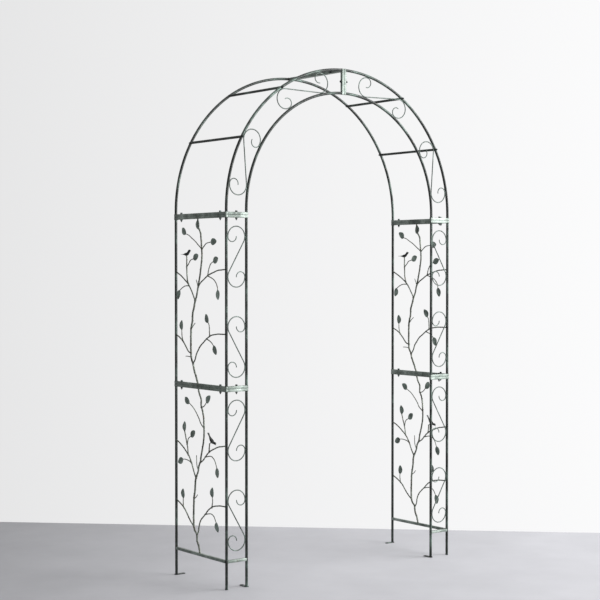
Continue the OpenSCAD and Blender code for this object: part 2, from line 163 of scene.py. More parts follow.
# Each leaf: the end of its twig, and the angle it points at, from the rear upwards.
UPPER_LEAVES = [
    [[21, 713], 90], [[124, 693], 37], [[-85, 651], 175], [[60, 576], 157],
    [[-105, 562], 159], [[-140, 432], -100], [[178, 428], -70], [[161, 244], 88],
    [[-62, 284], 57], [[-107, 178], -117],
]
LOWER_LEAVES = [
    [[97, 689], 33], [[-47, 702], 133], [[137, 556], 86], [[84, 535], 142],
    [[152, 421], -25], [[-132, 408], -105], [[150, 239], 90], [[-95, 272], 88],
    [[-126, 159], -107],
]
WIRES = {"upper": UPPER_WIRES, "lower": LOWER_WIRES}
LEAVES = {"upper": UPPER_LEAVES, "lower": LOWER_LEAVES}
# Each bird: where its feet stand, the middle of its body, and the angle it looks along.
BIRDS = {"upper": [[117, 590], [115, 598], 165], "lower": [[-73, 514], [-92, 527], 216]}

# ---- Surfaces: each is an array of points and a list of faces ----


def ring_faces(rows, columns, closed):
    """Quads between neighbouring rings of a grid, which wraps round, and end to end if closed."""
    row = np.arange(rows if closed else rows - 1)[:, None]
    column = np.arange(columns)[None, :]
    row2 = (row + 1) % rows
    column2 = (column + 1) % columns
    corners = [row * columns + column, row * columns + column2,
               row2 * columns + column2, row2 * columns + column]
    return np.stack(corners, axis=-1).reshape(-1, 4)


def skin(rings, first, last):
    """A closed skin over rings of points, with a fan to one point at each end.

    Each ring turns right-handed about the way from the first ring to the last.
    """
    rows, columns = rings.shape[:2]
    points = np.vstack([rings.reshape(-1, 3), first, last])
    here = np.arange(columns)
    after = (here + 1) % columns
    start_pole = np.full(columns, rows * columns)
    end_rim = (rows - 1) * columns
    start_fan = np.stack([start_pole, after, here], axis=1)
    end_fan = np.stack([start_pole + 1, end_rim + here, end_rim + after], axis=1)
    faces = ring_faces(rows, columns, False).tolist() + start_fan.tolist() + end_fan.tolist()
    return points, faces


def hoop(rings):
    """A skin over rings of points that follow a closed line, such as a weld round a tube."""
    return rings.reshape(-1, 3), ring_faces(*rings.shape[:2], True).tolist()


def mirrored(shape):
    """The same surface on the left side: x changes sign, and each face turns round."""
    points, faces = shape
    return points * [-1, 1, 1], [face[::-1] for face in faces]


def unit(vectors):
    """Vectors along the last axis, at length one."""
    return vectors / np.linalg.norm(vectors, axis=-1, keepdims=True)


def smooth_line(knots):
    """A smooth line through knots: on each span, the cubic that leaves each knot parallel to
    the line between the knot before and the knot after it."""
    knots = np.asarray(knots, float)
    knots = np.vstack([2 * knots[0] - knots[1], knots, 2 * knots[-1] - knots[-2]])
    t = np.linspace(0, 1, 12, endpoint=False)[None, :, None]
    a, b, c, d = (knots[i:len(knots) - 3 + i, None] for i in range(4))
    line = b + (c - a) * t / 2 + (2 * a - 5 * b + 4 * c - d) * t**2 / 2
    line = line + (3 * b - a - 3 * c + d) * t**3 / 2
    return np.vstack([line.reshape(-1, knots.shape[1]), knots[-2]])


def even_line(line, gap):
    """The same line with points at even steps along it, and each point's run from the start."""
    steps = np.linalg.norm(np.diff(line, axis=0), axis=1)
    run = np.concatenate([[0], np.cumsum(steps)])
    even = np.linspace(0, run[-1], max(int(round(run[-1] / gap)), 2) + 1)
    return np.stack([np.interp(even, run, c) for c in line.T], axis=1), even


def wire_skin(path, radii, normal, sides):
    """The skin of a wire whose path lies in the plane across normal, with half a ball on each end.

    A ring is path + radius * (cos a * normal + sin a * side), where side is the path's
    direction x normal. The balls' rings are radius * cos f wide and radius * sin f out.
    """
    radii = np.broadcast_to(np.asarray(radii, float).reshape(len(path), -1), (len(path), sides))
    along = unit(np.gradient(path, axis=0))
    f = np.radians([25, 50, 72])[:, None]
    end_r = radii[[0, -1]].mean(axis=1)
    before = path[0] - along[0] * end_r[0] * np.sin(f[::-1])
    beyond = path[-1] + along[-1] * end_r[1] * np.sin(f)
    centres = np.vstack([before, path, beyond])
    radii = np.vstack([radii[0] * np.cos(f[::-1]), radii, radii[-1] * np.cos(f)])
    along = np.vstack([np.repeat(along[:1], 3, 0), along, np.repeat(along[-1:], 3, 0)])
    side = np.cross(along, normal)
    angle = np.arange(sides) * TURN / sides
    spokes = np.cos(angle)[None, :, None] * normal + np.sin(angle)[None, :, None] * side[:, None]
    rings = centres[:, None] + radii[:, :, None] * spokes
    first = path[0] - along[0] * end_r[0]
    last = path[-1] + along[-1] * end_r[1]
    return skin(rings, first, last)


def across_axes(axis):
    """The two axes across an axis, in the order that turns right-handed about it."""
    return AXES[(axis + 1) % 3], AXES[(axis + 2) % 3]


def turned(foot, axis, heights, radii, way=1):
    """A solid of rings about a line from foot along an axis, or against it where way is -1.

    radii holds one radius for each height, or one for each height and angle.
    """
    heights = np.asarray(heights, float)
    radii = np.asarray(radii, float)
    if radii.ndim == 1:
        radii = np.repeat(radii[:, None], 32, axis=1)
    angle = np.arange(radii.shape[1]) * TURN / radii.shape[1]
    p, q = across_axes(axis)
    spokes = np.cos(angle)[:, None] * p + np.sin(angle)[:, None] * q * way
    ahead = AXES[axis] * way
    foot = np.asarray(foot, float)
    rings = foot + heights[:, None, None] * ahead + radii[:, :, None] * spokes
    return skin(rings, foot + heights[0] * ahead, foot + heights[-1] * ahead)


def rounded_bar(low, high, axis, edge=1.4 * MM):
    """A square bar with rounded edges, its section carried along an axis.

    A section is its four corners' centres plus edge * cos f * (cos a, sin a), and at both
    ends f goes up to a right angle while the section moves in by edge * (1 - sin f).
    """
    low, high = np.asarray(low, float), np.asarray(high, float)
    p, q = (axis + 1) % 3, (axis + 2) % 3
    centre, half = (low + high) / 2, (high - low) / 2
    angle = np.radians([3, 31, 59, 87])[None, :] + np.radians([0, 90, 180, 270])[:, None]
    sign_p = np.repeat([1, -1, -1, 1], 4)
    sign_q = np.repeat([1, 1, -1, -1], 4)
    f = np.radians([80, 55, 28, 0])
    lean = np.concatenate([f, f[::-1]])
    place = np.concatenate([low[axis] + edge * (1 - np.sin(f)),
                            high[axis] - edge * (1 - np.sin(f[::-1]))])
    rings = np.empty((len(lean), 16, 3))
    rings[:, :, axis] = place[:, None]
    reach = edge * np.cos(lean)[:, None]
    rings[:, :, p] = centre[p] + (half[p] - edge) * sign_p + reach * np.cos(angle).ravel()
    rings[:, :, q] = centre[q] + (half[q] - edge) * sign_q + reach * np.sin(angle).ravel()
    first, last = centre.copy(), centre.copy()
    first[axis], last[axis] = place[0], place[-1]
    return skin(rings, first, last)


def weld(line, thickness):
    """A weld bead along a closed line: a thin hoop whose thickness ripples as each drop set.

    Its rings stand across the line, and its thickness is r * (1 + 0.22 * |sin| of the run).
    """
    along = unit(np.roll(line, -1, axis=0) - np.roll(line, 1, axis=0))
    outward = unit(line - line.mean(axis=0))
    side = unit(np.cross(along, outward))
    outward = np.cross(side, along)
    steps = np.linalg.norm(np.roll(line, -1, axis=0) - line, axis=1)
    drops = round(steps.sum() / (1.8 * MM))
    ripple = np.abs(np.sin(np.cumsum(steps) / steps.sum() * math.pi * drops))
    radii = thickness * (0.85 + 0.3 * ripple)[:, None, None]
    angle = np.arange(8) * TURN / 8
    spokes = (np.cos(angle)[None, :, None] * outward[:, None]
              - np.sin(angle)[None, :, None] * side[:, None])
    return hoop(line[:, None] + radii * spokes)


def ring_weld(centre, axis, radius=None, thickness=1.2 * MM):
    """A weld bead round a tube whose end meets a flat face."""
    angle = np.arange(96) * TURN / 96
    p, q = across_axes(axis)
    circle = np.cos(angle)[:, None] * p + np.sin(angle)[:, None] * q
    return weld(np.asarray(centre) + (radius or tube_r) * circle, thickness)


def saddle_weld(post, axis, way, middle_z):
    """A weld bead round the end of a square bar that is coped to a round post.

    It follows the bar's square outline, and each point's reach from the post's centre is
    the square root of the post's radius squared less the point's distance aside squared.
    """
    angle = np.arange(96) * TURN / 96
    outline = np.stack([np.cos(angle), np.sin(angle)], axis=1)
    outline = outline / (np.abs(outline) ** 8).sum(axis=1, keepdims=True) ** (1 / 8) * bar_h
    aside = outline[:, 0]
    line = np.empty((96, 3))
    line[:, 2] = middle_z + outline[:, 1]
    line[:, axis] = post[axis] + way * np.sqrt(np.maximum(tube_r**2 - aside**2, (1 * MM)**2))
    line[:, 1 - axis] = post[1 - axis] + aside
    return weld(line, 1.1 * MM)


def blob(centre, radii):
    """A tack weld: a ball stretched along the three axes, rippled a little round its waist."""
    f = np.radians(np.linspace(-75, 75, 9))[:, None]
    angle = (np.arange(16) * TURN / 16)[None, :]
    swell = 1 + 0.06 * np.cos(5 * angle + 4 * f)
    unit_ball = np.stack([np.cos(f) * np.cos(angle) * swell, np.cos(f) * np.sin(angle) * swell,
                          np.sin(f) + 0 * angle], axis=-1)
    centre, radii = np.asarray(centre, float), np.asarray(radii, float)
    tip = radii * [0, 0, 1]
    return skin(centre + radii * unit_ball, centre - tip, centre + tip)


# ---- Paint and metal ----


def tone(red, green, blue):
    """A colour from its display values, 0 to 255, as the linear values that a shader takes."""
    display = np.array([red, green, blue]) / 255
    linear = np.where(display <= 0.04045, display / 12.92, ((display + 0.055) / 1.055) ** 2.4)
    return [*linear, 1]


def add_node(tree, kind, **inputs):
    """A shader node with the named inputs set, each from a value or from another's output."""
    node = tree.nodes.new("ShaderNode" + kind)
    for name, value in inputs.items():
        socket = node.inputs[name.replace("_", " ")]
        if isinstance(value, bpy.types.NodeSocket):
            tree.links.new(value, socket)
        else:
            socket.default_value = value
    return node


def ramp(tree, factor, stops):
    """A colour ramp with stops of [place, colour]."""
    node = add_node(tree, "ValToRGB", Fac=factor)
    points = node.color_ramp.elements
    points[0].position, points[1].position = stops[0][0], stops[-1][0]
    points[0].color, points[1].color = stops[0][1], stops[-1][1]
    for place, colour in stops[1:-1]:
        points.new(place).color = colour
    return node.outputs["Color"]


def spread(tree, value, low, high, start, end):
    """A value carried from the range low to high onto the range start to end."""
    node = add_node(tree, "MapRange", Value=value)
    for name, number in (("From Min", low), ("From Max", high), ("To Min", start),
                         ("To Max", end)):
        node.inputs[name].default_value = number
    return node.outputs["Result"]


def mixed(tree, factor, first, second, how="MIX"):
    """Two colours mixed by a factor."""
    node = tree.nodes.new("ShaderNodeMix")
    node.data_type = "RGBA"
    node.blend_type = how
    for place, value in ((0, factor), (6, first), (7, second)):
        if isinstance(value, bpy.types.NodeSocket):
            tree.links.new(value, node.inputs[place])
        else:
            node.inputs[place].default_value = value
    return node.outputs[2]


def aged_paint(name, dark, mid, pale, rub, patch=11, rub_share=0.62, metallic=0.3,
               rough=(0.34, 0.6), relief=0.35):
    """Old green-grey paint: cloudy patches of three tones, fine dry specks of the pale tone,
    small places rubbed through to the metal, and a slightly pitted surface."""
    material = bpy.data.materials.new(name)
    material.use_nodes = True
    tree = material.node_tree
    surface = tree.nodes["Principled BSDF"]
    place = add_node(tree, "TexCoord").outputs["Object"]
    clouds = add_node(tree, "TexNoise", Vector=place, Scale=patch, Detail=7, Roughness=0.66)
    grains = add_node(tree, "TexNoise", Vector=place, Scale=520, Detail=3, Roughness=0.6)
    rubs = add_node(tree, "TexNoise", Vector=place, Scale=85, Detail=5, Roughness=0.7)
    pits = add_node(tree, "TexVoronoi", Vector=place, Scale=900)
    body = ramp(tree, clouds.outputs["Fac"], [[0.34, dark], [0.5, mid], [0.68, pale]])
    specks = ramp(tree, grains.outputs["Fac"], [[0.52, [0, 0, 0, 1]], [0.74, [0.3, 0.3, 0.3, 1]]])
    body = mixed(tree, specks, body, pale)
    worn = ramp(tree, rubs.outputs["Fac"],
                [[rub_share, [0, 0, 0, 1]], [rub_share + 0.07, [1, 1, 1, 1]]])
    body = mixed(tree, worn, body, rub)
    tree.links.new(body, surface.inputs["Base Color"])
    tree.links.new(spread(tree, rubs.outputs["Fac"], 0.3, 0.7, rough[1], rough[0]),
                   surface.inputs["Roughness"])
    surface.inputs["Metallic"].default_value = metallic
    height = mixed(tree, 0.5, grains.outputs["Fac"], pits.outputs["Distance"])
    bump = add_node(tree, "Bump", Height=height, Strength=relief, Distance=0.5 * MM)
    tree.links.new(bump.outputs["Normal"], surface.inputs["Normal"])
    return material


bronze = tone(74, 62, 48)
tube_paint = aged_paint("aged green-black tube paint", tone(9, 12, 11), tone(28, 34, 31),
                        tone(92, 109, 101), bronze)
bar_paint = aged_paint("aged grey-green bar paint", tone(69, 77, 72), tone(110, 121, 114),
                       tone(153, 163, 157), bronze, patch=16)
scroll_paint = aged_paint("aged grey-green scroll paint", tone(44, 52, 48), tone(79, 91, 85),
                          tone(122, 137, 130), bronze, patch=24)
tree_paint = aged_paint("bark green-brown tree paint", tone(52, 56, 50), tone(90, 96, 88),
                        tone(136, 146, 134), bronze, patch=30, rub_share=0.54, relief=0.6)
leaf_paint = aged_paint("verdigris leaf paint", tone(72, 83, 77), tone(114, 129, 121),
                        tone(158, 175, 166), bronze, patch=42, rub_share=0.6, relief=0.5)
bird_paint = aged_paint("dark bronze bird paint", tone(18, 20, 20), tone(34, 38, 37),
                        tone(66, 76, 72), bronze, patch=50, relief=0.5)
bolt_metal = aged_paint("blackened zinc", tone(20, 23, 23), tone(38, 43, 42),
                        tone(92, 104, 100), tone(120, 118, 112), patch=70, metallic=0.8,
                        rough=(0.28, 0.5), relief=0.2)
PAINTS = {"tube_paint": tube_paint, "bar_paint": bar_paint, "scroll_paint": scroll_paint,
          "tree_paint": tree_paint, "leaf_paint": leaf_paint, "bird_paint": bird_paint,
          "bolt_metal": bolt_metal}

# ---- Pieces ----


def new_piece(name, shapes, slot, *replaced):
    """A piece from surfaces, painted for its slot, standing for the replaced nodes."""
    counts = [len(points) for points, _ in shapes]
    starts = np.concatenate([[0], np.cumsum(counts)[:-1]]).tolist()
    points = np.concatenate([points for points, _ in shapes])
    faces = [[corner + start for corner in face]
             for start, (_, shape_faces) in zip(starts, shapes) for face in shape_faces]
    mesh = bpy.data.meshes.new(name)
    mesh.from_pydata(points.tolist(), [], faces)
    mesh.polygons.foreach_set("use_smooth", np.ones(len(faces), bool))
    mesh.set_sharp_from_angle(angle=math.radians(38))
    mesh.materials.append(PAINTS[slot])
    piece = bpy.data.objects.new(name, mesh)
    bpy.context.scene.collection.objects.link(piece)
    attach(piece, "root")
    if replaced:
        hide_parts(*replaced)
    return piece


def both_sides(name, shapes, slot, *replaced):
    """A piece for the right side and its mirror image for the left one."""
    new_piece("right_" + name, shapes, slot, *["right_" + node for node in replaced])
    left_shapes = [mirrored(shape) for shape in shapes]
    new_piece("left_" + name, left_shapes, slot, *["left_" + node for node in replaced])


def square_bar(x, y, z, axis):
    """A rounded bar between two limits on each axis, given as [low, high] pairs."""
    low, high = zip(x, y, z)
    return rounded_bar(low, high, axis)


# Joint bars cap the posts, and the lowest bars run between them.
side_x = [outer_r - bar_h, outer_r + bar_h]
ladder_x = [inner_r - bar_h, outer_r - bar_h]
whole_y = [front_y - bar_h, rear_y + bar_h]
front_bar_y = [front_y - bar_h, front_y + bar_h]


def side_bar(z):
    """The long joint bar whose underside is at z."""
    return square_bar(side_x, whole_y, [z, z + bar_s], 1)


def front_bar(z):
    """The short joint bar across the ladder whose underside is at z."""
    return square_bar(ladder_x, front_bar_y, [z, z + bar_s], 0)


foot_z = [foot_bar_z, foot_bar_z + bar_s]
both_sides("lower_long_bars",
           [square_bar(side_x, [front_y, rear_y], foot_z, 1), side_bar(joint_z - bar_s)],
           "bar_paint", "lower_side_bars")
both_sides("lower_short_bars",
           [square_bar([inner_r, outer_r], front_bar_y, foot_z, 0), front_bar(joint_z - bar_s)],
           "bar_paint", "lower_front_bars")
both_sides("upper_long_bars", [side_bar(joint_z), side_bar(spring_z - bar_s)],
           "bar_paint", "upper_side_bars")
both_sides("upper_short_bars", [front_bar(joint_z), front_bar(spring_z - bar_s)],
           "bar_paint", "upper_front_bars")
both_sides("spring_bar_pair", [side_bar(spring_z), front_bar(spring_z)],
           "bar_paint", "spring_bars")
crown_x = [0, bar_s]
crown_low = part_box("right_crown_bars")[0].z
both_sides("crown_bar_pair",
           [square_bar(crown_x, front_bar_y, [crown_low, crown_z + bar_h], 2),
            square_bar(crown_x, [front_y + bar_h, rear_y + bar_h],
                       [crown_z - bar_h, crown_z + bar_h], 1)],
           "bar_paint", "crown_bars")

# ---- Wire trees ----

BARK_STEP = 1.6 * MM
BUD_GAP = 19 * MM
BUD_LENGTH = 1.9 * MM


def bark(run, angle, turn):
    """How much thicker a twig is than its wire, by the run along it and the angle round it.

    Two sets of shallow flutes wind round it. At every bud gap a bud swells on one side, each
    further round than the last, as a bell curve along the twig.
    """
    flutes = 0.05 * np.cos(3 * angle + 90 * run + turn) + 0.035 * np.cos(5 * angle - 150 * run)
    bud = np.round(run / BUD_GAP)
    away = (run - bud * BUD_GAP) / BUD_LENGTH
    side = 0.5 + 0.5 * np.cos(angle - 2.2 * bud - turn)
    return 1 + flutes + 0.42 * side**2 * np.exp(-(away**2))


def twig(number, diameter, knots, foot):
    """One wire of a tree: thicker where it grows out of another, finer towards a leaf."""
    line, run = even_line(smooth_line(knots) * MM, BARK_STEP)
    path = np.stack([np.full(len(line), outer_r), line[:, 0], foot + line[:, 1]], axis=1)
    radius = np.full(len(run), diameter / 2 * MM)
    if number:
        radius = radius * (1 + 0.35 * np.exp(-((run / (7 * MM)) ** 2)))
    if diameter <= 5:
        radius = radius * (1 - 0.22 * run / run[-1])
    angle = np.arange(12) * TURN / 12
    radii = radius[:, None] * bark(run[:, None], angle[None, :], 1.7 * number)
    return wire_skin(path, radii, AXES[0], 12)


for tier, wires in WIRES.items():
    twigs = [twig(i, wire[0], wire[1], panel_z[tier]) for i, wire in enumerate(wires)]
    both_sides(tier + "_tree", twigs, "tree_paint", tier + "_tree_wires")

# ---- Leaves ----


def leaf(stalk, degrees, foot, number):
    """A pressed leaf: flat rings across its length, each w * cos a wide and thin * sin a thick.

    Half its width is sin(pi * u ** 0.88) ** 0.66 along its length u. The whole sheet is raised
    by a midrib, by side veins that slant to the tip, and by a cup and a curl.
    """
    u = np.linspace(0.012, 0.988, 44)[:, None]
    a = (np.arange(40) * TURN / 40)[None, :]
    length = LEAF_L + 2 * MM
    half = LEAF_W / 2 * np.sin(math.pi * u**0.88) ** 0.66
    half = half * (1 + 0.03 * np.cos(TURN * 7 * u))
    aside = half * np.cos(a)
    thin = LEAF_T / 2 * np.sin(math.pi * u) ** 0.25
    midrib = 0.9 * MM * np.exp(-((aside / (1.3 * MM)) ** 2)) * (1 - 0.6 * u)
    slant = (u * length - 0.85 * np.abs(aside)) / (5.2 * MM)
    veins = 0.35 * MM * np.exp(-((slant - np.round(slant)) / 0.16) ** 2) * (1 - midrib / MM)
    cup = 1.6 * MM * (aside / (LEAF_W / 2)) ** 2
    curl = 2.2 * MM * np.sin(math.pi * u + number) * u
    lift = midrib + veins * np.sin(math.pi * u) + cup + curl + thin * np.sin(a)
    turn = math.radians(degrees)
    along = np.array([0, math.cos(turn), math.sin(turn)])
    across = np.array([0, -math.sin(turn), math.cos(turn)])
    base = np.array([outer_r, stalk[0] * MM, foot + stalk[1] * MM]) - along * 2 * MM
    rings = (base + (u * length)[:, :, None] * along + aside[:, :, None] * across
             + lift[:, :, None] * AXES[0])
    return skin(rings, rings[0].mean(axis=0), rings[-1].mean(axis=0))


for tier, leaves in LEAVES.items():
    blades = [leaf(stalk, turn, panel_z[tier], i) for i, (stalk, turn) in enumerate(leaves)]
    both_sides(tier + "_leaf_set", blades, "leaf_paint", tier + "_tree_leaves")

# ---- Birds ----

# Stations along a bird from its tail to its beak: ahead, up, half height, half width, in mm.
BIRD_BODY = [
    [-46.5, 12, 0.7, 5.4], [-38, 9.2, 1.0, 5.0], [-29, 6.4, 1.4, 4.2], [-21, 3.6, 3.0, 4.4],
    [-13, 1.2, 5.4, 6.0], [-4, 0, 7.0, 7.2], [5, 0.4, 7.2, 7.3], [12, 2.8, 6.6, 6.6],
    [18, 6.4, 6.2, 6.2], [24, 8.9, 6.2, 6.1], [28.4, 9.2, 4.4, 4.3], [30.6, 8.8, 2.0, 2.0],
    [34, 8.1, 1.0, 1.0], [37.5, 7.5, 0.3, 0.3],
]
# Stations along a folded wing, with its distance aside as a fifth value.
BIRD_WING = [
    [9, 2.2, 0.8, 0.5, 6.0], [3, 1.8, 3.8, 1.5, 6.6], [-5, 1.8, 4.6, 1.7, 6.2],
    [-13, 2.4, 3.9, 1.5, 4.8], [-21, 4.4, 2.6, 1.2, 3.6], [-29, 6.8, 1.5, 0.9, 2.8],
    [-36, 9.0, 0.6, 0.4, 2.2],
]
BIRD_RING = 28


def bird_shell(stations, aside, ahead, up, side, middle_point, ripple):
    """A shell through a bird's stations: ovals of half height * sin a and half width * cos a
    about a smooth line, whose outline is raised by ripple * cos(9 a), as barbs of feathers."""
    line = smooth_line(stations) * MM
    a = (np.arange(BIRD_RING) * TURN / BIRD_RING)[None, :]
    swell = 1 + ripple * np.cos(9 * a)
    tall = np.maximum(line[:, 2:3], 0.2 * MM) * np.sin(a) * swell
    wide = np.maximum(line[:, 3:4], 0.2 * MM) * np.cos(a) * swell
    offset = aside * line[:, 4:5] if line.shape[1] > 4 else 0
    rings = (middle_point + line[:, 0, None, None] * ahead
             + (line[:, 1:2] + tall)[:, :, None] * up + (wide + offset)[:, :, None] * side)
    return skin(rings, rings[0].mean(axis=0), rings[-1].mean(axis=0))


def songbird(feet, body, degrees, foot):
    """A small perched songbird: a body with head, beak and tail, two wings, legs and eyes."""
    turn = math.radians(degrees)
    ahead = np.array([0, math.cos(turn), math.sin(turn)])
    up = np.array([0, math.sin(turn), -math.cos(turn)])
    side = np.cross(up, ahead)
    middle_point = np.array([outer_r, body[0] * MM, foot + body[1] * MM])

    def place(forward, rise, aside):
        return middle_point + (forward * ahead + rise * up + aside * side) * MM

    shells = [bird_shell(BIRD_BODY, 0, ahead, up, side, middle_point, 0.012)]
    for way in (-1, 1):
        shells.append(bird_shell(BIRD_WING, way, ahead, up, side, middle_point, 0.1))
        shells.append(blob(place(26, 10.4, 5 * way), np.full(3, 1.1 * MM)))
        toe = np.array([outer_r + way * 1.2 * MM, feet[0] * MM, foot + feet[1] * MM])
        leg = np.linspace(place(-1, -4, 2.4 * way), toe, 8)
        shells.append(wire_skin(leg, np.full(8, 1 * MM), AXES[0], 10))
    return shells


for tier, (feet, body, turn) in BIRDS.items():
    both_sides(tier + "_songbird", songbird(feet, body, turn, panel_z[tier]), "bird_paint",
               tier + "_bird")

# ---- Scrolls ----


def curl_line(centre, start, stop):
    """A large arc about centre and then the small one, half as wide, that ends at centre."""
    large = np.linspace(start, stop, 90)[:, None]
    small = np.linspace(stop, stop + math.pi, 60)[:, None]
    towards = np.array([math.cos(stop), math.sin(stop)])
    large_arc = centre + curl_r * np.hstack([np.cos(large), np.sin(large)])
    small_arc = centre + curl_r / 2 * (towards + np.hstack([np.cos(small), np.sin(small)]))
    return np.vstack([large_arc, small_arc[1:]])


def scroll_line(half, bend, flip):
    """An S of two curls whose centres are half above and half below its middle.

    The straight between them touches both large arcs, so it leans by asin(curl_r / half).
    bend is the angle by which the rails turn between the middle and either curl.
    """
    lean = math.asin(curl_r / half)
    top = curl_line(np.array([0, half]), -lean, math.pi - bend)
    bottom = curl_line(np.array([0, -half]), math.pi - lean, TURN + bend)
    return np.vstack([top[::-1], bottom]) * [-1 if flip else 1, 1]


def scroll(line):
    """The wire of a scroll: thickest in its middle, and drawn finer in its small curls."""
    line, run = even_line(line, 1.5 * MM)
    from_middle = np.abs(run - run[-1] / 2) / (run[-1] / 2)
    radii = np.interp(from_middle, [0, 0.22, 0.7, 1], [2.7, 2.55, 2.45, 2.2]) * MM
    angle = np.arange(14) * TURN / 14
    hammered = 1 + 0.018 * np.cos(4 * angle[None, :] + 300 * run[:, None])
    path = np.stack([line[:, 0], np.full(len(line), front_y), line[:, 1]], axis=1)
    return wire_skin(path, radii[:, None] * hammered, AXES[1], 14)


tack_spots = []
for tier in ("lower", "upper"):
    middle_z = panel_z[tier] + panel_h / 2
    pair = []
    for way in (1, -1):
        centre = np.array([ladder_r, middle_z + way * SCROLL_OFFSET])
        pair.append(scroll(centre + scroll_line(LEG_CURL, 0, way == 1)))
        for curl_z in (centre[1] - LEG_CURL, centre[1] + LEG_CURL):
            for rail in (-1, 1):
                aside = rail * (curl_r + SCROLL_R - 0.6 * MM)
                tack_spots.append([ladder_r + aside, front_y, curl_z])
    both_sides(tier + "_scroll_pair", pair, "scroll_paint", tier + "_scrolls")

arch_half = ladder_r * math.sin(ARCH_CURL)
chord_r = ladder_r * math.cos(ARCH_CURL)
arch_pair = []
for a, bend in zip(SCROLL_ANGLES, (-ARCH_CURL, ARCH_CURL)):
    line = scroll_line(arch_half, bend, bend > 0) + [chord_r, 0]
    turning = np.array([[math.cos(a), math.sin(a)], [-math.sin(a), math.cos(a)]])
    arch_pair.append(scroll(line @ turning + [0, centre_z]))
    for curl_a in (a - ARCH_CURL, a + ARCH_CURL):
        for reach in (inner_r + tube_r, outer_r - tube_r):
            tack_spots.append([reach * math.cos(curl_a), front_y,
                               centre_z + reach * math.sin(curl_a)])
both_sides("arch_scroll_pair", arch_pair, "scroll_paint", "arch_scrolls")

# ---- Fasteners ----


def hexagon(across, rows):
    """Radii of a hexagon's rings: apothem / cos(angle from the middle of a flat), each ring
    cut back to its row's radius, which makes the chamfer on the corners."""
    angle = np.arange(72) * TURN / 72
    apothem = across * math.cos(math.pi / 6)
    flat = (angle % (TURN / 6)) - TURN / 12
    return np.minimum((apothem / np.cos(flat))[None, :], np.asarray(rows)[:, None])


def washer(foot, axis, way):
    """A washer with a rolled rim."""
    heights = np.array([0, 0.15, 0.5, 0.9, 1]) * WASHER_T
    radii = WASHER_R - np.array([0.5, 0.15, 0, 0.15, 0.5]) * MM
    return turned(foot, axis, heights, radii, way)


def bolt_head(foot, axis, way):
    """A chamfered hexagon head."""
    apothem = HEX_R * math.cos(math.pi / 6)
    rows = [apothem * 0.98, apothem * 1.03, HEX_R, HEX_R, apothem * 1.03, apothem * 0.95]
    heights = np.array([0, 0.04, 0.1, 0.78, 0.92, 1]) * HEAD_H
    return turned(foot, axis, heights, hexagon(HEX_R, rows), way)


def nut(foot, axis, way):
    """A hexagon nut, chamfered on both faces."""
    apothem = HEX_R * math.cos(math.pi / 6)
    rows = [apothem * 0.95, apothem * 1.03, HEX_R, HEX_R, apothem * 1.03, apothem * 0.95]
    heights = np.array([0, 0.08, 0.2, 0.8, 0.92, 1]) * NUT_H
    return turned(foot, axis, heights, hexagon(HEX_R, rows), way)


def threaded_end(foot, axis, way, length):
    """A bolt's shank, whose skin rises and falls once per pitch along it and once round it."""
    pitch = 1 * MM
    heights = np.linspace(0, length, int(length / pitch * 8))
    angle = np.arange(24) * TURN / 24
    wave = np.cos(TURN * heights[:, None] / pitch - angle[None, :])
    lead = np.minimum((length - heights) / (1.2 * MM), 1)[:, None]
    radii = BOLT_R * (0.8 + 0.12 * lead) + 0.25 * MM * (wave - 1) * lead
    return turned(foot, axis, heights, radii, way)


def bolt_set(places, axis, head_way, gap):
    """Bolts with their washers, and the nuts with theirs, each joining two bars at a place.

    gap is how far the head's and the nut's washers are from the joint.
    """
    bolts, nuts = [], []
    ahead = AXES[axis] * head_way
    for place in np.asarray(places, float):
        head_foot = place + ahead * gap
        bolts.append(washer(head_foot, axis, head_way))
        bolts.append(bolt_head(head_foot + ahead * WASHER_T, axis, head_way))
        bolts.append(threaded_end(place + ahead * gap, axis, -head_way,
                                  2 * gap + WASHER_T + NUT_H + THREAD_OUT))
        nut_foot = place - ahead * gap
        nuts.append(washer(nut_foot, axis, -head_way))
        nuts.append(nut(nut_foot - ahead * WASHER_T, axis, -head_way))
    return bolts, nuts


def joint_places(z):
    """Where the six bolts of one joint level stand."""
    bolt_y = rear_y - BOLT_INSET
    one_side = [[outer_r, -bolt_y, z], [outer_r, bolt_y, z], [ladder_r, front_y, z]]
    return one_side + [[-x, y, z] for x, y, z in one_side]


for level, z in (("mid_joint", joint_z), ("top_joint", spring_z)):
    bolts, nuts = bolt_set(joint_places(z), 2, 1, bar_s)
    new_piece(level + "_bolt_set", bolts, "bolt_metal", level + "_bolts")
    new_piece(level + "_nut_set", nuts, "bolt_metal", level + "_nuts")
crown_places = [[0, front_y, (crown_low + crown_z + bar_h) / 2],
                [0, -CROWN_BOLT_Y, crown_z], [0, CROWN_BOLT_Y, crown_z]]
bolts, nuts = bolt_set(crown_places, 0, -1, bar_s)
new_piece("crown_bolt_set", bolts, "bolt_metal", "crown_bolts")
new_piece("crown_nut_set", nuts, "bolt_metal", "crown_nuts")


def dome_bolt(place, way):
    """A cap head on an arch tube: a quarter of an oval, turned, on a thin flange."""
    f = np.radians(np.linspace(0, 84, 9))
    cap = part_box("rung_bolts")[1].y - rear_y - tube_r
    heights = np.concatenate([[-4 * MM, 0, 0.2 * MM], 0.6 * MM + (cap - 0.6 * MM) * np.sin(f)])
    radii = np.concatenate([[5 * MM, 5 * MM, 5.2 * MM], 5 * MM * np.cos(f)])
    return turned(place, 1, heights, radii, way)


dome_bolts = []
for a in RUNG_ANGLES:
    for side in (-1, 1):
        x, z = side * outer_r * math.cos(a), centre_z + outer_r * math.sin(a)
        dome_bolts.append(dome_bolt([x, front_y - tube_r, z], -1))
        dome_bolts.append(dome_bolt([x, rear_y + tube_r, z], 1))
new_piece("rung_bolt_caps", dome_bolts, "bolt_metal", "rung_bolts")

# ---- Feet ----


